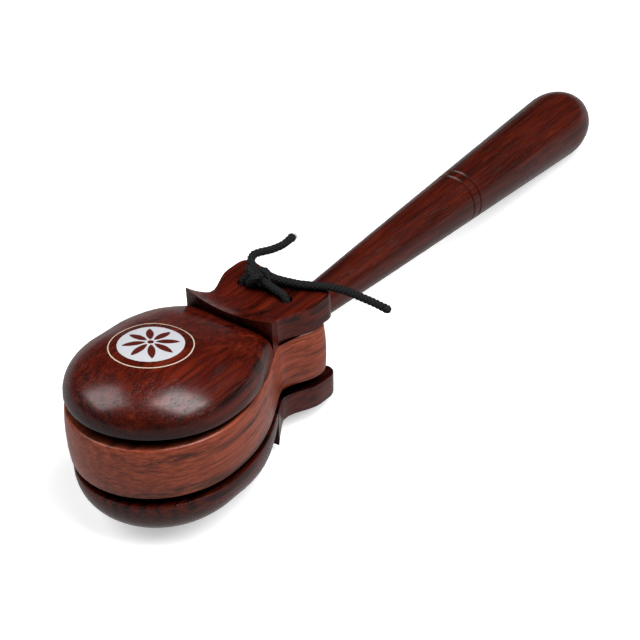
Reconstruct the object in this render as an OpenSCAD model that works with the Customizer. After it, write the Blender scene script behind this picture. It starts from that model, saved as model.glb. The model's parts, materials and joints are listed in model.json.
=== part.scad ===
// Handled castanets: a flat centre board on a turned handle, with a domed shell above and
// below it, both tied on through the ears with one round cord.
// The handle runs along +Y, the noses of the shells point along -Y, and the board lies level.

/* [Plan of the board and shells] */
// Half of the lobe's width
lobe_half_w = 32; // [26:0.5:40]
// From the middle of the lobe to the tip of the nose
nose_reach = 33.4; // [27:0.1:41]
// Half of the width at the waist
waist_half_w = 15.9; // [13:0.1:19]
// From the middle of the lobe to the waist
waist_y = 46; // [40:0.5:56]
// Half of the width across the ears
ear_half_w = 21; // [17:0.1:26]
// From the middle of the lobe to the widest place of the ears
ear_y = 62; // [56:0.5:75]
// Radius of the ears' back corners, seen from above
ear_corner_r = 5; // [3:0.5:7]

/* [Centre board] */
// Thickness of the board
board_t = 20.8; // [14:0.1:26]
// From the middle of the lobe to the back of the board
board_back = 68; // [66:0.5:88]
// How far the middle of the board's side wall stands proud of its edges
board_bulge = 0.7; // [0:0.1:1.5]
// Rounding of the board's edges
board_edge_r = 0.8; // [0.3:0.1:1.5]

/* [Shells] */
// Height of the upper dome above the rim
dome_h = 18.6; // [14:0.1:24]
// Height of the lower dome above the rim
lower_dome_h = 21.4; // [14:0.1:24]
// Fullness of the dome's section, where 2 is an ellipse
dome_full = 2.15; // [2:0.05:3.5]
// Fullness of the section at the foot of the step
foot_full = 4.2; // [2.5:0.1:6]
// Height of the dome at the foot of the step, above the inner face
foot_h = 9.3; // [7:0.1:12]
// From the middle of the lobe to the horns of the step
step_y = 38; // [33:0.5:44]
// How far the middle of the step stands forward of its horns
step_bow = 2.2; // [0:0.1:4]
// Height of the step's edge in the middle
step_h = 13.2; // [11:0.1:17]
// How much higher the horns are than the middle of the step
horn_rise = 1.6; // [0:0.1:3]
// Width of the sawn groove at the foot of the step
kerf_w = 1.1; // [0.6:0.1:2]
// Depth of the groove below the dome
kerf_depth = 1.2; // [0.5:0.1:2]
// Thickness of the ears
ear_t = 9.6; // [7:0.1:13]
// From the middle of the lobe to the back of the ears
shell_back = 72.5; // [68:0.5:92]
// Depth of the dip in the back edge between the ears
back_dip = 2.8; // [0:0.1:4]
// Rounding of the shell's rim
rim_edge_r = 0.9; // [0.4:0.1:2]
// Rounding of the ears' top edges
ear_edge_r = 1.3; // [0.5:0.1:2.5]

/* [Sounding hollows] */
// Radius of the hollow's mouth
bowl_mouth_r = 21; // [15:0.5:26]
// Depth of the hollow
bowl_depth = 8.5; // [5:0.1:12]
// From the middle of the lobe back to the middle of the hollow (negative is towards the nose)
bowl_y = -4; // [-6:0.5:0]

/* [Rocking] */
// From the middle of the lobe to the ridge that a shell rocks on
ridge_y = 18; // [17:0.5:24]
// Angle between a shell's rim and the inner face of its ears
gape = 4.6; // [3:0.1:8]
// Gap under the upper shell's ridge
upper_gap = 0.3; // [0.2:0.05:0.6]
// Gap above the lower shell's ridge, where it hangs on the cord
lower_gap = 1.6; // [0.5:0.1:3]
// How far the lower shell has rocked back from ears flat on the board
lower_rock = 2.9; // [1:0.1:4]
// How far the lower shell has swung sideways on the cord, about the middle of its holes
lower_yaw = 0.9; // [0:0.1:3]

/* [Handle] */
// Radius where the handle's taper starts, under the flare
root_r = 5.7; // [4.5:0.1:8]
// Extra radius of the flare against the board
root_flare = 1.8; // [0:0.1:3]
// Length of the flare
flare_l = 18; // [8:1:30]
// Largest radius, near the rounded end
grip_r = 13.9; // [10:0.1:18]
// From the middle of the lobe to the largest radius
grip_y = 248; // [180:1:300]
// Length of the rounded end
cap_l = 19; // [10:0.5:24]
// From the middle of the lobe to the first turned groove
groove_y = 175; // [120:1:230]
// Distance between the two grooves
groove_pitch = 4.3; // [3:0.1:10]
// Half width and depth of a groove
groove_r = 0.55; // [0.3:0.05:1]
// Radius of the tenon that is glued into the board
tenon_r = 5; // [3.5:0.1:5.5]
// Length of the tenon
tenon_l = 18; // [12:0.5:30]
// Radial clearance of the tenon in its bore
tenon_clear = 0.05; // [0.02:0.01:0.2]

/* [Cord] */
// Diameter of the round braided cord
cord_d = 3.2; // [2.4:0.1:4]
// Diameter of the cord holes
hole_d = 4.4; // [3.2:0.1:6]
// Half of the distance between the two cord holes
hole_half_x = 10; // [8:0.1:13]
// From the middle of the lobe to the cord holes
hole_y = 58; // [52:0.5:66]

/* [Hidden] */

rosewood = [0.27, 0.09, 0.055];
board_wood = [0.52, 0.19, 0.10];
handle_wood = [0.30, 0.09, 0.06];
black = [0.04, 0.045, 0.045];

// mesh steps round the nose, along the flank and the ear, round an ear's corner, up the dome
// and across the ears
nose_n = 44;
flank_n = 16;
flare_n = 8;
corner_n = 5;
dome_n = 15;
across_n = 16;
edge_steps = [30, 60, 90];

half_t = board_t / 2;
end_y = grip_y + cap_l;
// the origin is the middle of the object's length, on the board's middle plane
mid_y = (end_y - nose_reach) / 2;
// the dome's mesh ends just inside the step, drawn in a little from the ears' sides
dome_end = step_y + 0.8;
dome_draw = 0.05;
// how far the groove's back wall lies inside the step
kerf_in = 0.15;
// how far behind the step, and ahead of the back edge, their curves fade out
step_fade = 13;
dip_fade = 14;
// powers that shape the flank's curve, the crown's fall and the handle's taper
flank_bend = 2.2;
flank_ease = 1.3;
crown_bend = 1.8;
taper_bend = 0.92;
cut_over = 1;
cord_sides = 8;
cord_r = cord_d / 2;
// how far the tenon stops short of the bottom of its bore
tenon_end = 0.3;
// how far a leg of the cord reaches past the board, up and down, into the shells' holes, and the
// space left there between its end and the cord that moves with the shell
leg_up = 3.8;
leg_down = 5.6;
leg_clear = 0.7;
top_start = leg_up - upper_gap + leg_clear;
bridge_start = leg_down + leg_clear;

function smooth(t) = let (u = min(1, max(0, t))) u * u * (3 - 2 * u);

// ---- plan of the board and shells: half width at y, with every size drawn in by inset ----
function flank_w(y) = waist_half_w
    + (lobe_half_w - waist_half_w) * pow(1 - pow(y / waist_y, flank_bend), flank_ease);
function flare_w(y) = waist_half_w
    + (ear_half_w - waist_half_w) * smooth((y - waist_y) / (ear_y - waist_y));
function corner_w(y, inset, back) = ear_half_w - ear_corner_r
    + sqrt(max(0, pow(ear_corner_r - inset, 2) - pow(y - back + ear_corner_r, 2)));
function half_w(y, inset, back) =
    y <= 0 ? (lobe_half_w - inset) * sqrt(max(0, 1 - pow(y / (nose_reach - inset), 2)))
    : y <= waist_y ? flank_w(y) - inset
    : y <= back - ear_corner_r ? flare_w(y) - inset
    : corner_w(y, inset, back);
function spread(from, to, n) = [for (i = [1 : n]) from + (to - from) * i / n];
function corner_stations(inset, back) =
    [for (i = [1 : corner_n]) back - ear_corner_r + (ear_corner_r - inset) * sin(90 * i / corner_n)];

// ---- triangles between matching rings of n points ----
function ring_sides(rings, n) = [for (r = [0 : rings - 2], i = [0 : n - 1])
    let (a = r * n + i, b = r * n + (i + 1) % n) each [[a, a + n, b + n], [a, b + n, b]]];

// ---- centre board ----
function board_stations(inset) = concat(
    [for (i = [1 : nose_n / 2]) -(nose_reach - inset) * cos(180 * i / nose_n)],
    spread(0, waist_y, flank_n),
    spread(waist_y, board_back - ear_corner_r, flare_n),
    corner_stations(inset, board_back));
function board_ring(z, inset) = let (ys = board_stations(inset), n = len(ys)) concat(
    [[0, inset - nose_reach, z]],
    [for (y = ys) [half_w(y, inset, board_back), y, z]],
    [for (i = [1 : n]) [-half_w(ys[n - i], inset, board_back), ys[n - i], z]]);
module board_blank() {
    wall = half_t - board_edge_r;
    top = concat([for (z = [0, wall / 2, wall]) [z, 0]],
        [for (a = edge_steps) [wall + board_edge_r * sin(a), board_edge_r * (1 - cos(a))]]);
    levels = concat([for (i = [1 : len(top) - 1]) [-top[len(top) - i][0], top[len(top) - i][1]]], top);
    rings = [for (l = levels)
        board_ring(l[0], l[1] - board_bulge * (1 - pow(l[0] / half_t, 2)))];
    n = len(rings[0]);
    last = (len(rings) - 1) * n;
    polyhedron([for (r = rings) each r], concat(ring_sides(len(rings), n),
        [[for (i = [0 : n - 1]) i], [for (i = [0 : n - 1]) last + n - 1 - i]]));
}
module board() color(board_wood) placed() difference() {
    board_blank();
    for (x = [-hole_half_x, hole_half_x]) translate([x, hole_y, -half_t - cut_over])
        cylinder(d = hole_d, h = board_t + 2 * cut_over, $fn = 48);
    // the tenon's bore, and the flat seat of the handle's shoulder
    translate([0, board_back + cut_over, 0]) rotate([90, 0, 0]) {
        cylinder(r = tenon_r + tenon_clear, h = tenon_l + cut_over, $fn = 64);
        cylinder(r = taper_r(board_back) + tenon_clear, h = cut_over, $fn = 72);
    }
}

// ---- handle: turned, with a tenon in the board ----
function taper_r(y) = root_r
    + (grip_r - root_r) * pow((y - board_back) / (grip_y - board_back), taper_bend)
    + root_flare * (1 - smooth((y - board_back) / flare_l));
function groove_points(y) = [for (d = [-1, 0, 1]) [taper_r(y + d * groove_r) - (d == 0 ? groove_r : 0),
    y + d * groove_r]];
module handle() color(handle_wood) placed() rotate([-90, 0, 0]) {
    second_y = groove_y + groove_pitch;
    profile = concat(
        [[0, board_back - tenon_l + tenon_end], [tenon_r, board_back - tenon_l + tenon_end],
         [tenon_r, board_back]],
        [for (y = concat([board_back], spread(board_back, groove_y - 2, 20))) [taper_r(y), y]],
        groove_points(groove_y), groove_points(second_y),
        [for (y = spread(second_y + 2, grip_y, 9)) [taper_r(y), y]],
        [for (a = spread(0, 90, 14)) [a == 90 ? 0 : grip_r * cos(a), grip_y + cap_l * sin(a)]]);
    rotate_extrude($fn = 72) polygon(profile);
}

// ---- shells: built above the board, with the ears' inner face at z = 0 ----
function rim_z(y) = max(0, ridge_y - y) * tan(gape);
function crown_h(y, top) = y <= 0 ? top : top - (top - foot_h) * pow(y / step_y, crown_bend);
function fullness(y) = dome_full + (foot_full - dome_full) * smooth(y / step_y);
// one arch of the dome, from the point of the plan at a station up to the crown
function flank_arch(y, top) = let (w = half_w(y, 0, shell_back) - (y > step_y - 2 ? dome_draw : 0),
        n = fullness(y), h = crown_h(y, top) - rim_edge_r) concat(
    [for (a = [90, 45]) [w - rim_edge_r * (1 - cos(a)), y, rim_edge_r * (1 - sin(a))]],
    [for (i = [0 : dome_n - 1]) let (a = 90 * i / dome_n)
        [w * pow(cos(a), 2 / n), y, rim_edge_r + h * pow(sin(a), 2 / n)]]);
function nose_arch(turn, top) = let (n = dome_full, h = top - rim_edge_r) concat(
    [for (a = [90, 45]) let (d = rim_edge_r * (1 - cos(a)))
        [(lobe_half_w - d) * cos(turn), -(nose_reach - d) * sin(turn), rim_edge_r * (1 - sin(a))]],
    [for (i = [0 : dome_n - 1]) let (a = 90 * i / dome_n, r = pow(cos(a), 2 / n))
        [lobe_half_w * r * cos(turn), -nose_reach * r * sin(turn),
         rim_edge_r + h * pow(sin(a), 2 / n)]]);
module dome(top_h) {
    ys = concat([dome_end], [for (i = [1 : flank_n]) step_y * (1 - i / flank_n)]);
    right = [for (y = ys) flank_arch(y, top_h)];
    arches = concat(right,
        [for (i = [1 : nose_n - 1]) nose_arch(180 * i / nose_n, top_h)],
        [for (i = [1 : len(right)]) [for (p = right[len(right) - i]) [-p[0], p[1], p[2]]]]);
    spine = [for (y = ys) [0, y, crown_h(y, top_h)]];
    f = len(right) - 1;
    k = len(arches);
    m = len(arches[0]);
    base = k * m;
    function spine_at(i) = base + min(i, f, k - 1 - i);
    lift = [for (p = concat([for (a = arches) each a], spine)) p + [0, 0, rim_z(p[1])]];
    sides = [for (i = [0 : k - 2], j = [0 : m - 2]) let (a = i * m + j, b = a + m)
        each [[a, b, b + 1], [a, b + 1, a + 1]]];
    top = [for (i = [0 : k - 2]) let (a = i * m + m - 1, b = a + m, s = spine_at(i), t = spine_at(i + 1))
        each s == t ? [[a, b, s]] : [[a, b, t], [a, t, s]]];
    under = [for (i = [0 : (k - 1) / 2 - 1]) let (a = i * m, b = a + m, c = (k - 1 - i) * m, d = c - m)
        each b == d ? [[a, c, b]] : [[a, c, d], [a, d, b]]];
    end = [concat([for (j = [0 : m - 1]) j], [base], [for (j = [1 : m]) k * m - j])];
    polyhedron(lift, concat(sides, top, under, end));
}
// height of the ears' top at a fraction u of the half width
function block_z(y, u, w) = let (
        rise = pow(1 - min(1, max(0, y - step_y) / step_fade), 2),
        reach = min(ear_edge_r, shell_back - y), side = min(ear_edge_r, w * (1 - abs(u))))
    ear_t + rise * (step_h - ear_t + horn_rise * u * u)
    - (ear_edge_r - sqrt(max(0, pow(ear_edge_r, 2) - pow(ear_edge_r - reach, 2))))
    - (ear_edge_r - sqrt(max(0, pow(ear_edge_r, 2) - pow(ear_edge_r - side, 2)))) * (1 - rise);
function block_y(y, u) = y - (1 - u * u)
    * (step_bow * (1 - smooth((y - step_y) / step_fade))
       + back_dip * smooth((y - shell_back + dip_fade) / dip_fade));
function block_u(i) = sin(90 * (2 * i / across_n - 1));
function block_ring(y) = let (w = half_w(y, 0, shell_back)) concat(
    [for (i = [0 : across_n]) let (u = block_u(i)) [w * u, block_y(y, u), block_z(y, u, w)]],
    [for (i = [0 : across_n]) let (u = block_u(across_n - i)) [w * u, block_y(y, u), 0]]);
module ear_block() {
    ys = concat([step_y], spread(step_y, waist_y, 5),
        spread(waist_y, shell_back - ear_corner_r, flare_n), corner_stations(0, shell_back));
    rings = [for (y = ys) block_ring(y)];
    n = len(rings[0]);
    last = (len(rings) - 1) * n;
    cap = [for (i = [0 : across_n - 1]) let (a = i, b = i + 1, c = n - 2 - i, d = n - 1 - i)
        each [[a, b, c], [a, c, d]]];
    polyhedron([for (r = rings) each r], concat(ring_sides(len(rings), n),
        cap, [for (t = cap) last * [1, 1, 1] + [t[0], t[2], t[1]]]));
}
// the sawn groove at the foot of the step: what stands in front of the step's curve and above the
// dome's surface sunk by the groove's depth
module kerf(top_h) difference() {
    front = half_w(step_y, 0, shell_back);
    curve = [for (i = [-across_n / 2 : across_n / 2]) let (u = 1.2 * i / (across_n / 2))
        [front * u, block_y(step_y, u) + kerf_in]];
    far = [for (i = [0 : across_n]) curve[across_n - i] - [0, kerf_w + kerf_in]];
    linear_extrude(2 * top_h) polygon(concat(curve, far));
    translate([0, 0, -kerf_depth]) dome(top_h);
}
module shell(top_h) difference() {
    bowl_r = (pow(bowl_mouth_r, 2) + pow(bowl_depth, 2)) / (2 * bowl_depth);
    union() {
        dome(top_h);
        ear_block();
    }
    kerf(top_h);
    translate([0, ridge_y, 0]) rotate([-gape, 0, 0])
        translate([0, bowl_y - ridge_y, bowl_depth - bowl_r]) sphere(r = bowl_r, $fn = 96);
    for (x = [-hole_half_x, hole_half_x]) translate([x, hole_y, -cut_over])
        cylinder(d = hole_d, h = ear_t + horn_rise + 2 * cut_over, $fn = 48);
}
// an upper or lower part, set on its side of the board and rocked about its ridge
module on_top() placed() translate([0, 0, half_t + upper_gap]) children();
module below() placed() translate([0, hole_y, -half_t - lower_gap]) rotate([0, 0, lower_yaw])
    translate([0, ridge_y - hole_y, 0]) mirror([0, 0, 1]) rotate([lower_rock, 0, 0])
        translate([0, -ridge_y, 0]) children();
module placed() translate([0, -mid_y, 0]) children();

module shell_upper() color(rosewood) on_top() shell(dome_h);
module shell_lower() color(rosewood) below() shell(lower_dome_h);

// ---- cord: one length, in a piece for each body that it passes through ----
function unit(v) = v / norm(v);
function heading(route, i) = unit(route[min(i + 1, len(route) - 1)] - route[max(i - 1, 0)]);
function turned(v, from, to) = let (axis = cross(from, to), c = from * to)
    v * c + cross(axis, v) + axis * (axis * v) / (1 + c);
function carried(route, start, i) = i == 0 ? start
    : turned(carried(route, start, i - 1), heading(route, i - 1), heading(route, i));
module cord_tube(route, start) {
    rings = len(route);
    points = [for (i = [0 : rings - 1])
        let (t = heading(route, i), u = carried(route, start, i), v = cross(t, u))
        for (k = [0 : cord_sides - 1])
            route[i] + (u * cos(360 * k / cord_sides) + v * sin(360 * k / cord_sides)) * cord_r];
    last = (rings - 1) * cord_sides;
    polyhedron(points, concat(ring_sides(rings, cord_sides),
        [[for (k = [0 : cord_sides - 1]) k],
         [for (k = [1 : cord_sides]) last + cord_sides - k]]));
}
// A route's points are across, back from the holes, and up from the ears' outer face in cord
// diameters.
function over_ears(route) = [for (p = route) [p[0], hole_y + p[1], ear_t + p[2] * cord_d]];
function in_hole(x, z) = [x, hole_y, z];
knot_at = [-4.6, 1.6, 1.1];
knot_size = [3.44, 2.68, 2.06] * cord_d;
// the strand: out of the left hole, through the knot, across and into the right hole
strand = [[-hole_half_x, 0, -1], [-hole_half_x, 0, -0.31], [0.3 - hole_half_x, 0.1, 0.31],
    [1.4 - hole_half_x, 0.5, 0.75], [-6.8, 1, 1.03], [-4.4, 1.3, 1.12], [-1.6, 1.3, 1.03],
    [1.2, 1, 0.84], [4, 0.6, 0.72], [hole_half_x - 3.6, 0.2, 0.69], [hole_half_x - 1.4, 0, 0.53],
    [hole_half_x - 0.1, 0, 0], [hole_half_x, 0, -0.56], [hole_half_x, 0, -1.12]];
top_route = concat([in_hole(-hole_half_x, top_start)], over_ears(strand),
    [in_hole(hole_half_x, top_start)]);
// the tail that stands up from the knot and runs back over the handle's root
back_tail = [[-4.4, 1.5, 0.63], [-5, 1.8, 0.94], [-5.9, 2.2, 1.5], [-7.3, 2.7, 2],
    [-8.9, 3.9, 2.31], [-10.2, 5.8, 2.38], [-10.9, 8, 2.34], [-10.4, 10.3, 2.28],
    [-9.3, 12.4, 2.25], [-8.2, 14.6, 2.22], [-7.5, 17, 2.19], [-7, 19.3, 2.19],
    [-6.9, 21.6, 2.22], [-6.9, 23.6, 2.28], [-7, 25.2, 2.28]];
// the tail that lies across the ear and stands out past its side
side_tail = [[-4, 2, 0.94], [-3, 3, 1.06], [-1.4, 4, 1.06], [0.8, 4.9, 1], [3.2, 5.7, 0.91],
    [6.2, 6.8, 0.8], [9.2, 8.1, 0.67], [12, 9.8, 0.58], [15.2, 11.5, 0.55], [18.6, 13.1, 0.55],
    [22.2, 14.1, 0.55], [26, 14.6, 0.55], [29.8, 14.8, 0.5], [33.6, 14.9, 0.44],
    [37.4, 15, 0.38], [41, 14.9, 0.31], [44, 14.8, 0.25]];
// half of the bridge under the lower shell, from its hole to the middle
half_bridge = [[hole_half_x, 0, -0.56], [hole_half_x, 0, -0.12], [hole_half_x - 0.6, 0, 0.31],
    [hole_half_x - 1.8, 0, 0.53], [hole_half_x - 3.6, 0, 0.56], [hole_half_x - 5.8, 0, 0.56],
    [hole_half_x - 8, 0, 0.56]];

module cord_top() color(black) on_top() cord_tube(top_route, [1, 0, 0]);
module cord_knot() color(black) on_top() translate(over_ears([knot_at])[0]) scale(knot_size / 2)
    sphere(r = 1, $fn = 24);
module cord_tail_back() color(black) on_top() cord_tube(over_ears(back_tail), unit([1, 0.2, 0.5]));
module cord_tail_side() color(black) on_top() cord_tube(over_ears(side_tail), [0, 0, 1]);
module cord_leg(x) color(black) placed() translate([x, hole_y, -half_t - leg_down])
    cylinder(d = cord_d, h = board_t + leg_up + leg_down, $fn = 24);
module cord_leg_left() cord_leg(-hole_half_x);
module cord_leg_right() cord_leg(hole_half_x);
module cord_bridge() {
    half = concat([in_hole(hole_half_x, bridge_start)], over_ears(half_bridge));
    n = len(half);
    other_half = [for (i = [1 : n]) [-half[n - i][0], half[n - i][1], half[n - i][2]]];
    color(black) below() cord_tube(concat(half, other_half), [0, 1, 0]);
}

board();
handle();
shell_upper();
shell_lower();
cord_top();
cord_knot();
cord_tail_back();
cord_tail_side();
cord_leg_left();
cord_leg_right();
cord_bridge();
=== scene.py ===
import json
import math
import random
from contextlib import contextmanager

import bpy
from bpy.props import FloatProperty, FloatVectorProperty, IntProperty, PointerProperty
from bpy.types import Operator, Panel, PropertyGroup
from bpy.utils import register_class, unregister_class
from mathutils import Matrix, Vector


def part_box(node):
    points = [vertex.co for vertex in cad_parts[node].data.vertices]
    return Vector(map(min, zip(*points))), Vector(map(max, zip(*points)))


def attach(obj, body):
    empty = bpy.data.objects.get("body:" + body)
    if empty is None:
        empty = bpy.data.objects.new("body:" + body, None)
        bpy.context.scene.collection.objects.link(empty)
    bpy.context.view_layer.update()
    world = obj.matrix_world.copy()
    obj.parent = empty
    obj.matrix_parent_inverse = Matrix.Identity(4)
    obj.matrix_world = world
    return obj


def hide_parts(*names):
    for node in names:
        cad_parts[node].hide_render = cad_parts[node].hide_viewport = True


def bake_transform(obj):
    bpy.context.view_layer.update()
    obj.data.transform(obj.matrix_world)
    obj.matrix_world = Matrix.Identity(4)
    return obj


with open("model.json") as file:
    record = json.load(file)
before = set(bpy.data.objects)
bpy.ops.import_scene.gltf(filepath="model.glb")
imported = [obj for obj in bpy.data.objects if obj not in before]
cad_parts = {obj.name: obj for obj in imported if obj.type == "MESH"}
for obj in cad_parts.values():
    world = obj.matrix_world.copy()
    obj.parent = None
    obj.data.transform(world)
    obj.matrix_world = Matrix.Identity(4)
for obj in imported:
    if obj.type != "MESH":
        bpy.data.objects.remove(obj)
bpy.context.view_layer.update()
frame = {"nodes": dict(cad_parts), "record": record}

bl_info = {
    "name": "Handled Castanets",
    "version": (1, 0, 0),
    "blender": (4, 5, 0),
    "location": "View3D > Sidebar > Castanets",
    "description": "Rosewood shells, board, turned handle, braided cord and printed mark",
    "category": "Object",
}

MM = 0.001

# Where things lie, worked out from the frame: the board, the upper shell, the middle of its lobe
# and the cord's holes.
UPPER_LOW, UPPER_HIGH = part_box("shell_upper")
LEG_LOW, LEG_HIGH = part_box("cord_leg_right")
LOBE_Y = UPPER_LOW[1] + 33.4 * MM  # behind the front tip of the shell
LEG_X = (LEG_LOW[0] + LEG_HIGH[0]) / 2
LEG_Y = (LEG_LOW[1] + LEG_HIGH[1]) / 2

# How finely the cord is made: parts of a route between two of its points, sides of the core and
# of a yarn, the stretch over which a cut end opens out, and the knot's size against the frame's.
ROUTE_PARTS = 24
CORE_SIDES = 12
YARN_SIDES = 6
OPENING_STRETCH = 3.5 * MM
KNOT_ROOM = 1.12
HEADING_RINGS = 8  # rings from a cut end over which its heading is taken

# Fibres that fan out of a cut end.
FIBRE_RINGS = 6
FIBRE_SIDES = 4

# The rosette: its small round middle, and where the petals start.
ROSETTE_MIDDLE = 1.1 * MM
PETAL_START = 1.7 * MM

# Softboxes: name, direction from the dome's nose, width and height in metres, power setting.
SOFTBOXES = (
    ("LeftSoftbox", (-0.50, -0.46, 0.735), (0.80, 0.95), "left_power"),
    ("RightSoftbox", (0.56, 0.10, 0.80), (0.75, 1.15), "right_power"),
)

# The cord's routes, in metres, as the frame's tubes run.
STRAND = [
    (-0.01, -0.0588, 0.0149), (-0.01, -0.0588, 0.0171), (-0.01, -0.0588, 0.01931),
    (-0.0097, -0.0587, 0.02129), (-0.0086, -0.0583, 0.0227), (-0.0068, -0.0578, 0.0236),
    (-0.0044, -0.0575, 0.02388), (-0.0016, -0.0575, 0.0236), (0.0012, -0.0578, 0.02299),
    (0.004, -0.0582, 0.0226), (0.0064, -0.0586, 0.02251), (0.0086, -0.0588, 0.022),
    (0.0099, -0.0588, 0.0203), (0.01, -0.0588, 0.01851), (0.01, -0.0588, 0.01672),
    (0.01, -0.0588, 0.0149),
]
BACK_TAIL = [
    (-0.0044, -0.0573, 0.02232), (-0.005, -0.057, 0.02331), (-0.0059, -0.0566, 0.0251),
    (-0.0073, -0.0561, 0.0267), (-0.0089, -0.0549, 0.02769), (-0.0102, -0.053, 0.02792),
    (-0.0109, -0.0508, 0.02779), (-0.0104, -0.0485, 0.0276), (-0.0093, -0.0464, 0.0275),
    (-0.0082, -0.0442, 0.0274), (-0.0075, -0.0418, 0.02731), (-0.007, -0.0395, 0.02731),
    (-0.0069, -0.0372, 0.0274), (-0.0069, -0.0352, 0.0276), (-0.007, -0.0336, 0.0276),
]
SIDE_TAIL = [
    (-0.004, -0.0568, 0.02331), (-0.003, -0.0558, 0.02369), (-0.0014, -0.0548, 0.02369),
    (0.0008, -0.0539, 0.0235), (0.0032, -0.0531, 0.02321), (0.0062, -0.052, 0.02286),
    (0.0092, -0.0507, 0.02244), (0.012, -0.049, 0.02216), (0.0152, -0.0473, 0.02206),
    (0.0186, -0.0457, 0.02206), (0.0222, -0.0447, 0.02206), (0.026, -0.0442, 0.02206),
    (0.0298, -0.044, 0.0219), (0.0336, -0.0439, 0.02171), (0.0374, -0.0438, 0.02152),
    (0.041, -0.0439, 0.02129), (0.044, -0.044, 0.0211),
]
BRIDGE = [
    (0.01, -0.05901, -0.02032), (0.01001, -0.05909, -0.02182), (0.01001, -0.05916, -0.02323),
    (0.00941, -0.05924, -0.0246), (0.00821, -0.05929, -0.02531), (0.00641, -0.05933, -0.0254),
    (0.00421, -0.05936, -0.0254), (0.00201, -0.0594, -0.0254), (-0.00199, -0.05946, -0.0254),
    (-0.00419, -0.05949, -0.0254), (-0.00639, -0.05953, -0.0254), (-0.00819, -0.05955, -0.02531),
    (-0.00939, -0.05953, -0.0246), (-0.00999, -0.05947, -0.02323),
    (-0.00999, -0.0594, -0.02182), (-0.00999, -0.05933, -0.02032),
]


# ---------------------------------------------------------------- settings

def colour(name, note, value):
    return FloatVectorProperty(name=name, description=note, subtype="COLOR", size=3,
                               min=0, max=1, default=value)


def length(name, note, value):
    return FloatProperty(name=name, description=note, unit="LENGTH", subtype="DISTANCE",
                         min=0, default=value, precision=5)


class WoodLook(PropertyGroup):
    shell_dark: colour("Shell dark", "Darkest streaks of the shells' rosewood",
                      (0.016, 0.0017, 0.0009))
    shell_mid: colour("Shell middle", "Main colour of the shells' rosewood",
                     (0.076, 0.0056, 0.0019))
    shell_light: colour("Shell light", "Lightest streaks of the shells' rosewood",
                       (0.180, 0.021, 0.0070))
    board_dark: colour("Board dark", "Darkest streaks of the board", (0.085, 0.017, 0.0085))
    board_mid: colour("Board middle", "Main colour of the board", (0.300, 0.054, 0.024))
    board_light: colour("Board light", "Lightest streaks of the board", (0.540, 0.135, 0.052))
    handle_dark: colour("Handle dark", "Darkest streaks of the handle", (0.016, 0.0020, 0.0011))
    handle_mid: colour("Handle middle", "Main colour of the handle", (0.064, 0.0064, 0.0024))
    handle_light: colour("Handle light", "Lightest streaks of the handle", (0.145, 0.019, 0.0070))
    polish: FloatProperty(name="Polish", description="Roughness of the polished wood",
                          min=0.05, max=1, default=0.235)
    crease: FloatProperty(name="Crease", description="Faces that meet at more than this stay sharp",
                          subtype="ANGLE", default=math.radians(33))


class CordLook(PropertyGroup):
    diameter: length("Diameter", "Diameter of the braided cord", 0.0032)
    yarns: IntProperty(name="Yarns", description="Yarns that wind each way round the cord",
                       min=2, max=16, default=6)
    lay: length("Lay", "Length in which a yarn winds once round the cord", 0.0105)
    step: length("Step", "Distance between rings along a yarn", 0.00024)
    frayed: length("Frayed end", "Length of the loose fibres at the cut end", 0.0024)
    tint: colour("Colour", "Colour of the cord", (0.0056, 0.0060, 0.0068))


class MarkLook(PropertyGroup):
    ring_radius: length("Ring radius", "Radius of the printed ring", 0.0148)
    ring_width: length("Ring width", "Width of the printed ring", 0.00038)
    disc_radius: length("Disc radius", "Radius of the printed disc", 0.0116)
    petals: IntProperty(name="Petals", description="Petals of the rosette",
                        min=3, max=16, default=8)
    petal_length: length("Petal length", "Length of one petal", 0.0082)
    petal_width: length("Petal width", "Width of one petal", 0.0027)
    lift: length("Lift", "How far the ink stands off the wood", 0.00004)
    across: length("Across", "From the middle of the lobe to the left", 0.0016)
    ink: colour("Ink", "Colour of the printed ink", (0.52, 0.53, 0.56))
    ring_ink: colour("Ring ink", "Colour of the thin ring", (0.62, 0.53, 0.42))


class StudioLook(PropertyGroup):
    azimuth: FloatProperty(name="Azimuth", description="Direction of the camera round the object",
                           subtype="ANGLE", default=math.radians(39.6506))
    elevation: FloatProperty(name="Elevation", description="Height of the camera over the board",
                             subtype="ANGLE", default=math.radians(34.2672))
    roll: FloatProperty(name="Roll", description="Turn of the camera about its own line of sight",
                        subtype="ANGLE", default=math.radians(-2.7624))
    distance: length("Distance", "From the camera to the point it looks at", 0.76204)
    aim: FloatVectorProperty(name="Aim", description="Point that the camera looks at",
                             subtype="TRANSLATION", size=3, default=(0.00868, -0.03895, 0))
    lens: FloatProperty(name="Lens", description="Focal length on a 36 mm sensor", unit="CAMERA",
                        default=116.49)
    floor_size: length("Floor", "Side of the floor", 8.0)
    left_power: FloatProperty(name="Left softbox", description="Power of the left softbox",
                              unit="POWER", default=11.5)
    right_power: FloatProperty(name="Right softbox", description="Power of the right softbox",
                               unit="POWER", default=22)
    box_distance: length("Softbox distance", "From the shells to each softbox", 1.25)
    room: FloatProperty(name="Room", description="Brightness of the room round the object",
                        min=0, default=0.025)
    glow: FloatProperty(name="Floor glow", description="Light that the light table gives off",
                        min=0, default=0.45)
    bounce: FloatProperty(name="Floor bounce", description="Brightness that the floor throws back",
                          min=0, default=0.45)


class CastanetsSettings(PropertyGroup):
    wood: PointerProperty(type=WoodLook)
    cord: PointerProperty(type=CordLook)
    mark: PointerProperty(type=MarkLook)
    studio: PointerProperty(type=StudioLook)


# ---------------------------------------------------------------- small helpers

def pick(*objects):
    """Selects only these objects, the first one active."""
    if bpy.context.object and bpy.context.object.mode != "OBJECT":
        bpy.ops.object.mode_set(mode="OBJECT")
    bpy.ops.object.select_all(action="DESELECT")
    for item in objects:
        item.select_set(True)
    bpy.context.view_layer.objects.active = objects[0]


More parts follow.
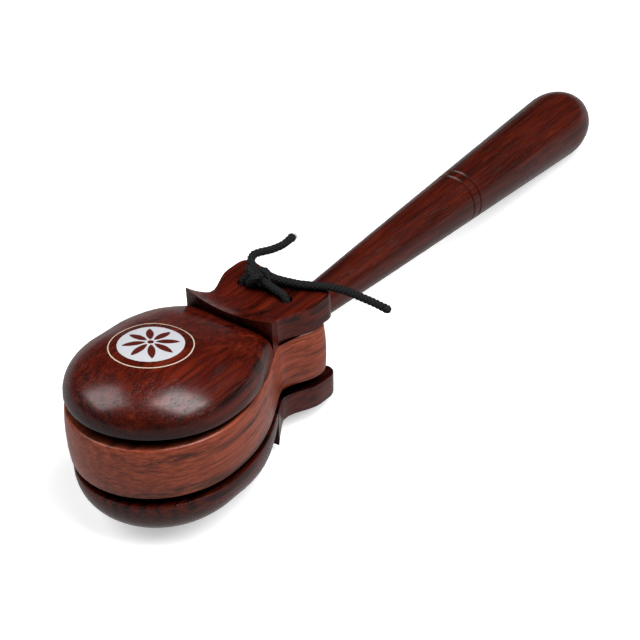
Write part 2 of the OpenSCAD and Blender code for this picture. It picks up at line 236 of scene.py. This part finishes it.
@contextmanager
def editing(piece):
    """Edit mode with the whole of one piece selected."""
    pick(piece)
    bpy.ops.object.mode_set(mode="EDIT")
    bpy.ops.mesh.select_all(action="SELECT")
    yield
    bpy.ops.object.mode_set(mode="OBJECT")


def settle(piece):
    """Puts a piece's place, turn and size into its mesh."""
    pick(piece)
    bpy.ops.object.transform_apply(location=True, rotation=True, scale=True)


def wooden_copy(node, name, material, crease):
    """A merged, smooth copy of a CAD node, which takes its place."""
    mesh = frame["nodes"][node].data.copy()
    mesh.name = name
    piece = bpy.data.objects.new(name, mesh)
    bpy.context.scene.collection.objects.link(piece)
    mesh.materials.clear()
    mesh.materials.append(material)
    pick(piece)
    if mesh.has_custom_normals:
        bpy.ops.mesh.customdata_custom_splitnormals_clear()
    with editing(piece):
        bpy.ops.mesh.remove_doubles(threshold=0.002 * MM)
        bpy.ops.mesh.dissolve_degenerate(threshold=0.001 * MM)
    bpy.ops.object.shade_smooth_by_angle(angle=crease)
    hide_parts(node)
    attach(piece, body_of(node))
    return piece


def body_of(node):
    """The body that a CAD node moves with."""
    bodies = frame["record"]["behaviour"]["bodies"]
    return next(body for body, nodes in bodies.items() if node in nodes)


# ---------------------------------------------------------------- materials

class Shader:
    """Builds one node material."""

    def __init__(self, name):
        self.material = bpy.data.materials.new(name)
        self.material.use_nodes = True
        self.tree = self.material.node_tree
        self.surface = next(n for n in self.tree.nodes if n.type == "BSDF_PRINCIPLED")

    def add(self, kind, inputs=None, **settings):
        """Adds a node with its inputs, by name or number, and its settings."""
        node = self.tree.nodes.new("ShaderNode" + kind)
        for key, value in settings.items():
            setattr(node, key, value)
        for key, value in (inputs or {}).items():
            self.feed(node.inputs[key], value)
        return node

    def feed(self, socket, value):
        """Links a socket to another one, or gives it a value. A colour may have three numbers."""
        if isinstance(value, bpy.types.NodeSocket):
            self.tree.links.new(value, socket)
        elif socket.type == "RGBA":
            socket.default_value = (*value, 1)[:4]
        else:
            socket.default_value = value

    def noise(self, vector, scale, detail, roughness=0.5, distortion=0.0):
        return self.add("TexNoise", {"Vector": vector, "Scale": scale, "Detail": detail,
                                     "Roughness": roughness,
                                     "Distortion": distortion}).outputs["Fac"]

    def place(self):
        """Where a point lies in the object's own frame."""
        return self.add("TexCoord").outputs["Object"]

    def spread(self, value, low, high, smooth="LINEAR", to=(0.0, 1.0)):
        """Maps low and high to the two ends given by to."""
        return self.add("MapRange", {"Value": value, "From Min": low, "From Max": high,
                                     "To Min": to[0], "To Max": to[1]},
                        interpolation_type=smooth).outputs[0]

    def bump(self, strength, distance, height):
        """Normals of fine relief."""
        return self.add("Bump", {"Strength": strength, "Distance": distance,
                                 "Height": height}).outputs["Normal"]

    def nook(self, distance, samples):
        """Low where faces close in on each other within the distance; the materials paint shade
        with it.
        """
        return self.add("AmbientOcclusion", {"Distance": distance}, samples=samples).outputs["AO"]

    def ramp(self, value, stops, smooth="LINEAR"):
        """Colours or greys between stops, each a place and a tone."""
        node = self.add("ValToRGB", {"Fac": value})
        node.color_ramp.interpolation = smooth
        band = node.color_ramp.elements
        while len(band) < len(stops):
            band.new(0.5)
        for element, (place, tone) in zip(band, stops):
            element.position = place
            element.color = (*tone, 1) if hasattr(tone, "__len__") else (tone, tone, tone, 1)
        return node.outputs["Color"]

    def mix(self, share, a, b, blend="MIX"):
        node = self.add("Mix", data_type="RGBA", blend_type=blend, clamp_result=False)
        for socket, value in ((node.inputs[0], share), (node.inputs[6], a), (node.inputs[7], b)):
            self.feed(socket, value)
        return node.outputs[2]

    def maths(self, operation, a, b=0.5, clamp=False):
        node = self.add("Math", operation=operation, use_clamp=clamp)
        for socket, value in zip(node.inputs, (a, b)):
            self.feed(socket, value)
        return node.outputs[0]

    def set(self, **inputs):
        """Feeds the surface's own sockets."""
        for key, value in inputs.items():
            self.feed(self.surface.inputs[key.replace("_", " ")], value)


def rosewood(name, dark, middle, light, polish, shift, turn, rings, layers, nose=None):
    """Polished wood whose grain runs along Y. shift and turn place the grain in the piece, rings is
    how strongly the growth rings show, and layers is how tightly they lie across and up. nose is
    (y, low, high) of a painted shade, darker towards the front and the rim, that fades out
    backwards from y and up from low to high."""
    s = Shader(name)
    place = s.place()
    laid = {"Vector": place, "Location": shift, "Rotation": turn}
    across, up = layers
    band = s.add("Mapping", {**laid, "Scale": (across, 0.10, up)}).outputs["Vector"]
    fine = s.add("Mapping", {**laid, "Scale": (across ** 0.6, 0.045, up)}).outputs["Vector"]
    drift = s.noise(band, 42.0, 4.0, 0.5, 0.8)
    figure = s.noise(band, 170.0, 4.0, 0.6, 1.0)
    ring = s.add("TexWave", {"Vector": band, "Scale": 70.0, "Distortion": 6.0, "Detail": 3.0,
                             "Detail Scale": 1.6, "Detail Roughness": 0.55},
                 wave_type="RINGS", rings_direction="Y").outputs["Fac"]
    streak = s.noise(fine, 620.0, 5.0, 0.65, 0.25)
    pores = s.noise(fine, 2700.0, 2.0, 0.5, 0.1)
    cloud = s.noise(band, 420.0, 4.0, 0.7)

    # broad figure first, then dark lines, warm lines, pores and cloudy patches
    body = s.maths("ADD", s.maths("MULTIPLY", drift, 0.95), s.maths("MULTIPLY", figure, 0.50))
    body = s.maths("ADD", body, s.maths("MULTIPLY", ring, rings))
    body = s.maths("SUBTRACT", body, 0.23 + rings * 0.5)
    tone = s.ramp(body, [(0.26, dark), (0.44, middle), (0.60, middle), (0.80, light)], "EASE")
    lines = s.ramp(streak, [(0.36, 0.0), (0.52, 1.0)])
    tone = s.mix(0.45, tone, lines, "MULTIPLY")
    warm = s.ramp(streak, [(0.50, 0.0), (0.66, 1.0)])
    tone = s.mix(s.maths("MULTIPLY", warm, 0.45), tone, light)
    holes = s.ramp(pores, [(0.58, 0.0), (0.66, 1.0)])
    tone = s.mix(s.maths("MULTIPLY", holes, 0.60), tone, dark)
    tone = s.mix(0.35, tone, s.ramp(cloud, [(0.32, 0.35), (0.62, 1.0)]), "MULTIPLY")

    # painted shade: the low front of the dome darker towards the rim, where little light falls
    if nose:
        split = s.add("SeparateXYZ", {0: place})
        rise = s.spread(split.outputs["Z"], nose[1], nose[2], "SMOOTHSTEP")
        back = s.spread(split.outputs["Y"], nose[0], nose[0] + 30 * MM, "SMOOTHSTEP")
        share = s.maths("MULTIPLY", s.maths("SUBTRACT", 1.0, rise), s.maths("SUBTRACT", 1.0, back))
        tone = s.mix(s.maths("MULTIPLY", share, 0.92), tone, [0.6 * c for c in dark])

    # painted shade where faces meet inwards and in the gaps between parts; outward edges a little
    # lighter, partly rubbed wear and partly painted highlight
    nook = s.nook(12 * MM, 8)
    round_normal = s.add("Bevel", {"Radius": 0.4 * MM}, samples=4).outputs["Normal"]
    facing = s.add("VectorMath", {0: round_normal, 1: s.add("NewGeometry").outputs["Normal"]},
                   operation="DOT_PRODUCT").outputs["Value"]
    edge = s.ramp(facing, [(0.80, 1.0), (0.985, 0.0)])
    # partly rubbed wear, partly painted highlight: outward edges made lighter whatever the light
    rubbed_and_highlight = s.maths("MULTIPLY", edge, s.ramp(figure, [(0.30, 0.10), (0.70, 0.50)]))
    rubbed_and_highlight = s.maths("MULTIPLY", rubbed_and_highlight, s.ramp(nook, [(0.86, 0.0), (0.98, 1.0)]))
    tone = s.mix(rubbed_and_highlight, tone, [min(1.0, 1.4 * c + 0.02) for c in light])
    # painted shade: colour and reflection fall away where faces close in, as in the gaps between
    # shells and board
    painted_shade_factor = s.ramp(nook, [(0.32, 0.006), (0.86, 1.0)])
    tone = s.mix(1.0, tone, painted_shade_factor, "MULTIPLY")

    rough = s.maths("ADD", s.maths("MULTIPLY", s.ramp(streak, [(0.2, 1.0), (0.8, 0.0)]), 0.10),
                    polish - 0.05)
    rough = s.maths("ADD", rough, s.maths("MULTIPLY", holes, 0.20), clamp=True)
    height = s.maths("SUBTRACT", s.maths("MULTIPLY", streak, 0.40), holes)
    s.set(Base_Color=tone, Roughness=rough, Normal=s.bump(0.26, 0.08 * MM, height),
          Specular_IOR_Level=s.maths("MULTIPLY", painted_shade_factor, 0.43))
    return s.material


def cord_black(tint):
    """Matt black yarn, with fibres that run along each yarn."""
    s = Shader("CordBlack")
    yarn = s.add("UVMap", uv_map="Yarn").outputs["UV"]
    run = s.add("Mapping", {"Vector": yarn, "Scale": (9.0, 900.0, 1.0)}).outputs["Vector"]
    fibre = s.noise(run, 1.0, 4.0, 0.6)
    patch = s.noise(s.place(), 420.0, 3.0, 0.6)
    tone = s.mix(s.ramp(fibre, [(0.35, 0.0), (0.70, 1.0)]), [c * 0.45 for c in tint],
                 [c * 2.1 for c in tint])
    tone = s.mix(0.5, tone, s.ramp(patch, [(0.30, 0.5), (0.70, 1.0)]), "MULTIPLY")
    # painted shade where yarns and loops close in on each other
    tone = s.mix(1.0, tone, s.ramp(s.nook(0.8 * MM, 6), [(0.40, 0.03), (0.95, 1.0)]), "MULTIPLY")
    s.set(Base_Color=tone, Roughness=s.maths("ADD", s.maths("MULTIPLY", fibre, 0.2), 0.62),
          Normal=s.bump(0.35, 0.05 * MM, fibre), Specular_IOR_Level=0.28)
    return s.material


def printed_ink(name, tint):
    """Thin printed ink, slightly worn where the grain shows through it."""
    s = Shader(name)
    along = s.add("Mapping", {"Vector": s.place(), "Scale": (1.0, 0.08, 1.0)}).outputs["Vector"]
    grain = s.noise(along, 700.0, 4.0, 0.6)
    tone = s.mix(s.ramp(grain, [(0.30, 0.12), (0.62, 0.0)]), tint, [c * 0.62 for c in tint])
    s.set(Base_Color=tone, Roughness=s.maths("ADD", s.maths("MULTIPLY", grain, 0.16), 0.36),
          Normal=s.bump(0.15, 0.04 * MM, grain))
    return s.material


def pale_floor(glow, bounce):
    """A white light table. What it throws back on to the object is dimmer than what is seen, and it
    can be looked through from below."""
    s = Shader("PaleFloor")
    place = s.place()
    haze = s.noise(place, 3.0, 2.0)
    away = s.add("VectorMath", {0: place}, operation="LENGTH").outputs["Value"]
    s.set(Base_Color=s.mix(haze, (0.84, 0.84, 0.84), (0.88, 0.88, 0.88)), Roughness=0.9,
          Specular_IOR_Level=0.0, Emission_Color=(1, 1, 1),
          Emission_Strength=s.spread(away, 0.25, 1.1, to=(glow, 1.0)))
    thrown = s.add("Emission", {"Strength": bounce}).outputs["Emission"]
    seen = s.add("LightPath").outputs["Is Camera Ray"]
    both = s.add("MixShader", {0: seen, 1: thrown, 2: s.surface.outputs["BSDF"]})
    below = s.add("NewGeometry").outputs["Backfacing"]
    clear = s.add("BsdfTransparent").outputs["BSDF"]
    sided = s.add("MixShader", {0: below, 1: both.outputs[0], 2: clear})
    out = next(n for n in s.tree.nodes if n.type == "OUTPUT_MATERIAL")
    s.tree.links.new(sided.outputs[0], out.inputs["Surface"])
    return s.material


# ---------------------------------------------------------------- cord making

def smooth_line(route, step):
    """Points a step apart on a smooth curve through the route."""
    route = [Vector(p) for p in route]
    ends = [2 * route[0] - route[1]] + route + [2 * route[-1] - route[-2]]
    fine = []
    for before, a, b, after in zip(ends, ends[1:], ends[2:], ends[3:]):
        for i in range(ROUTE_PARTS):
            t = i / ROUTE_PARTS
            fine.append(0.5 * (2 * a + (b - before) * t
                               + (2 * before - 5 * a + 4 * b - after) * t ** 2
                               + (3 * a - before - 3 * b + after) * t ** 3))
    fine.append(route[-1])
    gone = [0.0]
    for a, b in zip(fine, fine[1:]):
        gone.append(gone[-1] + (b - a).length)
    count = max(2, round(gone[-1] / step) + 1)
    line, j = [], 0
    for i in range(count):
        want = gone[-1] * i / (count - 1)
        while j < len(fine) - 2 and gone[j + 1] < want:
            j += 1
        share = (want - gone[j]) / max(gone[j + 1] - gone[j], 1e-12)
        line.append(fine[j].lerp(fine[j + 1], min(1, max(0, share))))
    return line, gone[-1]


def heading_at(line, i):
    """The way the line runs at its point i."""
    return (line[min(i + 1, len(line) - 1)] - line[max(i - 1, 0)]).normalized()


def end_heading(line):
    """The way the line runs at its cut end."""
    return (line[-1] - line[-HEADING_RINGS]).normalized()


def carried_axes(line):
    """For each point of the line two axes across it that turn as little as they can."""
    headings = [heading_at(line, i) for i in range(len(line))]
    across = headings[0].orthogonal().normalized()
    axes = []
    for i, heading in enumerate(headings):
        if i:
            across = headings[i - 1].rotation_difference(heading) @ across
        across = (across - heading * across.dot(heading)).normalized()
        axes.append((across, heading.cross(across)))
    return axes


def oval(centre, u, v, wide, high, sides):
    """Points round a centre, as far out as wide along u and high along v."""
    return [centre + u * math.cos(a) * wide + v * math.sin(a) * high
            for a in (math.tau * k / sides for k in range(sides))]


class Tubes:
    """Gathers closed tubes into one mesh, whose UV map Yarn runs round and along each tube."""

    def __init__(self):
        self.points, self.faces, self.strands = [], [], []

    def add(self, rings, step, shift=0):
        """Adds a tube through rings of points a step apart."""
        n, start = len(rings[0]), len(self.points)
        for r, ring in enumerate(rings):
            self.points.extend(ring)
            self.strands.extend((k / n + shift, r * step) for k in range(n))
        for r in range(len(rings) - 1):
            for i in range(n):
                a, b = start + r * n + i, start + r * n + (i + 1) % n
                self.faces.append((a, b, b + n, a + n))
        self.faces.append(tuple(start + n - 1 - i for i in range(n)))
        self.faces.append(tuple(start + (len(rings) - 1) * n + i for i in range(n)))

    def piece(self, name):
        """Makes one object of all the tubes, with their faces outwards."""
        mesh = bpy.data.meshes.new(name)
        mesh.from_pydata(self.points, [], self.faces)
        layer = mesh.uv_layers.new(name="Yarn")
        for loop in mesh.loops:
            layer.data[loop.index].uv = self.strands[loop.vertex_index]
        mesh.update()
        piece = bpy.data.objects.new(name, mesh)
        bpy.context.scene.collection.objects.link(piece)
        with editing(piece):
            bpy.ops.mesh.normals_make_consistent(inside=False)
        return piece


def braided(name, route, look, flare=0.0):
    """A round braid: a core, and yarns that wind both ways and pass over and under each other.
    flare is how much the cut end opens out. Returns the piece, its centreline and its length."""
    line, long = smooth_line(route, look.step)
    axes = carried_axes(line)
    radius = look.diameter / 2
    thick, weave = 0.155 * radius, 0.15 * radius
    middle = radius - thick - weave
    slant = math.atan(math.tau * middle / look.lay)
    wide = 0.80 * math.pi * middle / look.yarns * math.cos(slant)
    core = middle - weave * 0.4
    gone = [long * i / (len(line) - 1) for i in range(len(line))]
    opened = [1 + flare * max(0.0, 1 - (long - far) / OPENING_STRETCH) ** 1.5 for far in gone]
    tubes = Tubes()
    tubes.add([oval(p, u, v, core * wider, core * wider, CORE_SIDES)
               for p, (u, v), wider in zip(line, axes, opened)], look.step)
    for way in (1, -1):
        for k in range(look.yarns):
            path, outward = [], []
            for p, (u, v), far, wider in zip(line, axes, gone, opened):
                turn = math.tau * (k / look.yarns + way * far / look.lay)
                out = u * math.cos(turn) + v * math.sin(turn)
                rise = way * weave * math.cos(math.tau * look.yarns * far / look.lay)
                path.append(p + out * (middle + rise) * wider)
                outward.append(out)
            sides = [heading_at(path, i).cross(out).normalized() for i, out in enumerate(outward)]
            tubes.add([oval(p, side, out, wide, thick, YARN_SIDES)
                       for p, side, out in zip(path, sides, outward)], look.step, k)
    piece = tubes.piece(name)
    pick(piece)
    bpy.ops.object.shade_smooth_by_angle(angle=math.radians(60))
    return piece, line, long


def loose_fibres(name, line, radius, long, count, seed, spread=0.55):
    """Fine tapering fibres that fan out of the line's cut end."""
    chance = random.Random(seed)
    end, heading = line[-1], end_heading(line)
    side = heading.orthogonal().normalized()
    other = heading.cross(side)
    tubes = Tubes()
    for _ in range(count):
        turn = chance.uniform(0, math.tau)
        out = side * math.cos(turn) + other * math.sin(turn)
        base = end + out * radius * math.sqrt(chance.uniform(0.05, 1)) * 0.88 - heading * 0.4 * MM
        reach = long * chance.uniform(0.35, 1.0)
        lean = chance.uniform(0.05, spread)
        curl = side * chance.uniform(-0.25, 0.25) + other * chance.uniform(-0.25, 0.25)
        width = chance.uniform(0.06 * MM, 0.11 * MM)
        rings = []
        for i in range(FIBRE_RINGS):
            t = i / (FIBRE_RINGS - 1)
            place = (base + heading * reach * t * (1 - 0.15 * t) + out * reach * lean * t ** 1.6
                     + curl * reach * t ** 2)
            size = width * (1 - 0.75 * t)
            rings.append(oval(place, side, other, size, size, FIBRE_SIDES))
        tubes.add(rings, 0.3 * MM)
    return tubes.piece(name)


# ---------------------------------------------------------------- operators

class CASTANETS_OT_studio(Operator):
    """Sets the camera, the pale floor, the softboxes and the room"""
    bl_idname = "castanets.studio"
    bl_label = "Studio"

    def execute(self, context):
        look = context.scene.castanets.studio
        a, e = look.azimuth, look.elevation
        back = Vector((math.sin(a) * math.cos(e), -math.cos(a) * math.cos(e), math.sin(e)))
        level = Vector((math.cos(a), math.sin(a), 0))
        upright = back.cross(level)
        right = level * math.cos(look.roll) + upright * math.sin(look.roll)
        up = back.cross(right)
        data = bpy.data.cameras.new("Camera")
        data.lens, data.sensor_width, data.clip_start, data.clip_end = look.lens, 36, 0.01, 50
        camera = bpy.data.objects.new("Camera", data)
        context.scene.collection.objects.link(camera)
        turn = Matrix((right, up, back)).transposed()
        stand = Vector(look.aim) + back * look.distance
        camera.matrix_world = Matrix.Translation(stand) @ turn.to_4x4()
        context.scene.camera = camera
        context.scene.view_settings.view_transform = "Standard"

        # the floor touches the lower shell's dome and the underside of the grip
        slope, height = self.resting_plane()
        bpy.ops.object.select_all(action="DESELECT")
        bpy.ops.mesh.primitive_plane_add(size=look.floor_size, location=(0, 0, height),
                                         rotation=(math.atan(slope), 0, 0))
        floor = context.object
        floor.name = "Floor"
        settle(floor)
        floor.data.materials.append(pale_floor(look.glow, look.bounce))

        # the softboxes stand where the two soft highlights on the dome's nose look at them
        nose = Vector((8 * MM, LOBE_Y - 25 * MM, 25 * MM))
        for name, towards, size, power in SOFTBOXES:
            towards = Vector(towards).normalized()
            bpy.ops.object.light_add(type="AREA", location=nose + towards * look.box_distance)
            lamp = context.object
            lamp.name = name
            lamp.rotation_euler = towards.to_track_quat("Z", "Y").to_euler()
            lamp.data.shape = "RECTANGLE"
            lamp.data.size, lamp.data.size_y = size
            lamp.data.energy = getattr(look, power)

        self.dim_room(context.scene, look.room)
        return {"FINISHED"}

    @staticmethod
    def dim_room(scene, brightness):
        """A room that lights the object faintly and is seen as white."""
        world = bpy.data.worlds.new("Room")
        scene.world = world
        world.use_nodes = True
        nodes, links = world.node_tree.nodes, world.node_tree.links
        nodes.clear()
        blend, out = nodes.new("ShaderNodeMixShader"), nodes.new("ShaderNodeOutputWorld")
        links.new(nodes.new("ShaderNodeLightPath").outputs["Is Camera Ray"], blend.inputs["Fac"])
        for slot, (tone, strength) in enumerate((((0.97, 0.98, 1.0), brightness),
                                                 ((1, 1, 1), 1.0)), 1):
            shade = nodes.new("ShaderNodeBackground")
            shade.inputs["Color"].default_value = (*tone, 1)
            shade.inputs["Strength"].default_value = strength
            links.new(shade.outputs[0], blend.inputs[slot])
        links.new(blend.outputs[0], out.inputs["Surface"])

    @staticmethod
    def resting_plane():
        """Slope along Y, and height at the origin, of the plane that carries the object."""
        shell = [v.co.copy() for v in frame["nodes"]["shell_lower"].data.vertices]
        grip = [v.co.copy() for v in frame["nodes"]["handle"].data.vertices]
        low, high = 0.0, 0.3
        for _ in range(40):  # halves the range until both are under the same plane
            slope = (low + high) / 2
            under_shell = min(p.z - slope * p.y for p in shell)
            under_grip = min(p.z - slope * p.y for p in grip)
            if under_grip > under_shell:
                low = slope
            else:
                high = slope
        return slope, min(under_shell, under_grip)


class CASTANETS_OT_cord(Operator):
    """Braids the strand on the upper ears, the legs in the holes and the bridge below"""
    bl_idname = "castanets.cord"
    bl_label = "Cord"

    def execute(self, context):
        look = context.scene.castanets.cord
        black = cord_black(look.tint)
        upper, lower = body_of("cord_top"), body_of("cord_bridge")
        strand, _, _ = braided("CordStrand", STRAND, look)
        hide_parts("cord_top")
        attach(strand, upper)
        bridge, _, _ = braided("CordBridge", BRIDGE, look)
        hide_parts("cord_bridge")
        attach(bridge, lower)
        pieces = [strand, bridge]
        for side, name in ((-1, "Left"), (1, "Right")):
            top, bottom = STRAND[0 if side < 0 else -1], BRIDGE[-1 if side < 0 else 0]
            middle = Vector((side * LEG_X, LEG_Y, 0))
            rise = [middle.lerp(Vector(top), t / 6) for t in range(7)]
            leg, _, _ = braided("CordLegUpper" + name, rise, look)
            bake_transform(leg)
            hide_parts("cord_leg_" + name.lower())
            drop = [middle.lerp(Vector(bottom), t / 8) for t in range(9)]
            stub, _, _ = braided("CordLegLower" + name, drop, look)
            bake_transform(stub)
            pieces += [leg, stub]
        for piece in pieces:
            piece.data.materials.append(black)
        return {"FINISHED"}


class CASTANETS_OT_tails(Operator):
    """Ties the knot and braids the two free tails with their frayed and melted ends"""
    bl_idname = "castanets.tails"
    bl_label = "Knot and tails"

    def execute(self, context):
        look = context.scene.castanets.cord
        black = bpy.data.materials["CordBlack"]
        radius = look.diameter / 2
        knot = self.knot(look)
        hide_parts("cord_knot")
        back, back_line, back_long = braided("CordTailBack", BACK_TAIL, look, 0.22)
        side, side_line, side_long = braided("CordTailSide", SIDE_TAIL, look, 0.08)
        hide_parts("cord_tail_back")
        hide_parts("cord_tail_side")
        fray = loose_fibres("FrayedEnd", back_line, radius, look.frayed, 130, 5)
        strays = loose_fibres("StrayFibres", side_line, radius, look.frayed * 0.5, 26, 9, 1.2)
        melted = self.melted_end(side_line, radius)
        for piece in (knot, back, side, fray, strays, melted):
            piece.data.materials.append(black)
            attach(piece, body_of("cord_knot"))
        return {"FINISHED"}

    @staticmethod
    def knot(look):
        """An overhand knot drawn up tight, as wide, deep and high as the frame's."""
        low, high = (Vector(corner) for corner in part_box("cord_knot"))
        centre, half = (low + high) / 2, (high - low) / 2
        room = [KNOT_ROOM * h - look.diameter / 2 for h in half]
        route = []
        for i in range(49):
            t = math.pi / 6 + math.tau * i / 48
            route.append(centre + Vector((room[0] * (math.sin(t) + 2 * math.sin(2 * t)) / 3,
                                          room[1] * (math.cos(t) - 2 * math.cos(2 * t)) / 3,
                                          -room[2] * math.sin(3 * t))))
        piece, _, _ = braided("CordKnot", route, look)
        return piece

    @staticmethod
    def melted_end(line, radius):
        """A small round bead where the cut end was melted."""
        heading = end_heading(line)
        bpy.ops.object.select_all(action="DESELECT")
        bpy.ops.mesh.primitive_uv_sphere_add(segments=24, ring_count=14, radius=radius * 0.93,
                                             location=line[-1] - heading * radius * 0.15)
        bead = bpy.context.object
        bead.name = "MeltedEnd"
        settle(bead)
        chance = random.Random(3)
        for point in bead.data.vertices:
            point.co += heading * chance.uniform(-0.06 * MM, 0.10 * MM)
        bead.data.uv_layers.active.name = "Yarn"
        pick(bead)
        bpy.ops.object.shade_smooth()
        return bead


class CASTANETS_OT_shells(Operator):
    """Finishes the two shells in dark polished rosewood"""
    bl_idname = "castanets.shells"
    bl_label = "Shells"

    def execute(self, context):
        look = context.scene.castanets.wood
        rim = UPPER_LOW[2]
        # the upper shell's last entry places its painted shade on the low front; the lower shell
        # has none
        for node, name, shift, turn, nose in (
                ("shell_upper", "ClapperUpper", (0.031, 0.0, 0.006), (0.10, 0.0, 0.05),
                 (LOBE_Y - 26 * MM, rim + 2 * MM, rim + 16.5 * MM)),
                ("shell_lower", "ClapperLower", (0.093, 0.05, 0.027), (-0.08, 0.0, -0.04), None)):
            wood = rosewood("Rosewood" + name, look.shell_dark, look.shell_mid, look.shell_light,
                            look.polish, shift, turn, 0.20, (1.0, 1.5), nose)
            wooden_copy(node, name, wood, look.crease)
        return {"FINISHED"}


class CASTANETS_OT_paddle(Operator):
    """Finishes the centre board and the turned handle"""
    bl_idname = "castanets.paddle"
    bl_label = "Board and handle"

    def execute(self, context):
        look = context.scene.castanets.wood
        board = rosewood("BoardWood", look.board_dark, look.board_mid, look.board_light,
                         look.polish + 0.06, (0.17, 0.02, 0.041), (0.05, 0.0, 0.03), 0.10,
                         (0.40, 2.2))
        wooden_copy("board", "Board", board, look.crease)
        grip = rosewood("HandleWood", look.handle_dark, look.handle_mid, look.handle_light,
                        look.polish + 0.02, (0.26, 0.01, 0.013), (0.02, 0.0, -0.02), 0.12,
                        (1.0, 1.0))
        wooden_copy("handle", "Handle", grip, look.crease)
        return {"FINISHED"}


class CASTANETS_OT_mark(Operator):
    """Prints the plain round mark, a ring and a disc with a rosette, on the upper dome"""
    bl_idname = "castanets.mark"
    bl_label = "Printed mark"

    def execute(self, context):
        look = context.scene.castanets.mark
        wood = context.scene.castanets.wood
        centre = Vector((-look.across, LOBE_Y, UPPER_HIGH[2] + 4 * MM))
        ink = printed_ink("InkWhite", look.ink)
        cream = printed_ink("InkCream", look.ring_ink)
        brown = printed_ink("InkBrown", wood.shell_mid)
        ring = self.ring("MarkRing", centre, look.ring_radius, look.ring_width)
        disc = self.disc("MarkDisc", centre, look.disc_radius)
        rosette = self.rosette("MarkRosette", centre, look)
        for piece, material, lift in ((ring, cream, look.lift), (disc, ink, look.lift),
                                      (rosette, brown, look.lift * 2.2)):
            self.lay_on(piece, lift)
            piece.data.materials.append(material)
            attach(piece, body_of("shell_upper"))
        return {"FINISHED"}

    @staticmethod
    def flat_circle(centre, radius, sides):
        """A flat filled circle over the dome."""
        bpy.ops.object.select_all(action="DESELECT")
        bpy.ops.mesh.primitive_circle_add(vertices=sides, radius=radius, fill_type="NGON",
                                          location=centre)
        return bpy.context.object

    def ring(self, name, centre, radius, width):
        """A thin ring: a circle's border, its middle deleted."""
        piece = self.flat_circle(centre, radius, 128)
        piece.name = name
        with editing(piece):
            bpy.ops.mesh.inset(thickness=width)
            bpy.ops.mesh.delete(type="FACE")
        settle(piece)
        return piece

    def disc(self, name, centre, radius):
        """A disc in many rings, so that it bends over the dome."""
        piece = self.flat_circle(centre, radius, 96)
        piece.name = name
        with editing(piece):
            for _ in range(10):
                bpy.ops.mesh.inset(thickness=radius / 11)
            bpy.ops.mesh.poke()
        settle(piece)
        return piece

    def rosette(self, name, centre, look):
        """Slender petals round a small middle, each a circle drawn out to two points."""
        reach = look.petal_length / 2
        petals = []
        for i in range(look.petals):
            petal = self.flat_circle(centre, reach, 32)
            with editing(petal):
                for _ in range(4):
                    bpy.ops.mesh.inset(thickness=reach / 6)
                bpy.ops.mesh.poke()
            for point in petal.data.vertices:
                point.co.x *= (look.petal_width / look.petal_length
                               * max(0.0, 1 - (point.co.y / reach) ** 2) ** 0.35)
                point.co.y += reach + PETAL_START
            petal.rotation_euler = (0, 0, math.tau * i / look.petals)
            petals.append(petal)
        petals.append(self.flat_circle(centre, ROSETTE_MIDDLE, 32))
        pick(*petals)
        bpy.ops.object.transform_apply(location=True, rotation=True, scale=True)
        bpy.ops.object.join()
        piece = bpy.context.object
        piece.name = name
        return piece

    @staticmethod
    def lay_on(piece, lift):
        """Drops a flat piece straight down on to the upper dome, as thick as a coat of ink."""
        pick(piece)
        wrap = piece.modifiers.new("Lay", "SHRINKWRAP")
        wrap.target = bpy.data.objects["ClapperUpper"]
        wrap.wrap_method = "PROJECT"
        wrap.use_project_z = True
        wrap.use_negative_direction, wrap.use_positive_direction = True, False
        wrap.offset = lift
        bpy.ops.object.modifier_apply(modifier="Lay")
        coat = piece.modifiers.new("Coat", "SOLIDIFY")
        coat.thickness = lift * 1.2
        coat.offset = -1
        bpy.ops.object.modifier_apply(modifier="Coat")
        bpy.ops.object.shade_smooth_by_angle(angle=math.radians(40))


class CASTANETS_PT_parts(Panel):
    """Lists the castanets' pieces and settings"""
    bl_idname = "CASTANETS_PT_parts"
    bl_label = "Handled castanets"
    bl_space_type = "VIEW_3D"
    bl_region_type = "UI"
    bl_category = "Castanets"

    def draw(self, context):
        for operator in STEPS:
            self.layout.operator(operator.bl_idname)
        settings = context.scene.castanets
        for group in (settings.wood, settings.cord, settings.mark, settings.studio):
            box = self.layout.box()
            for key in group.bl_rna.properties.keys():
                if key not in {"rna_type", "name"}:
                    box.prop(group, key)


STEPS = (CASTANETS_OT_studio, CASTANETS_OT_cord, CASTANETS_OT_tails, CASTANETS_OT_shells,
         CASTANETS_OT_paddle, CASTANETS_OT_mark)
CLASSES = (WoodLook, CordLook, MarkLook, StudioLook, CastanetsSettings, *STEPS, CASTANETS_PT_parts)


def register():
    for item in CLASSES:
        register_class(item)
    bpy.types.Scene.castanets = PointerProperty(type=CastanetsSettings)


def unregister():
    del bpy.types.Scene.castanets
    for item in reversed(CLASSES):
        unregister_class(item)


def main():
    register()
    bpy.ops.castanets.studio()
    bpy.ops.castanets.cord()
    bpy.ops.castanets.tails()
    bpy.ops.castanets.shells()
    bpy.ops.castanets.paddle()
    bpy.ops.castanets.mark()


if __name__ == "__main__":
    main()
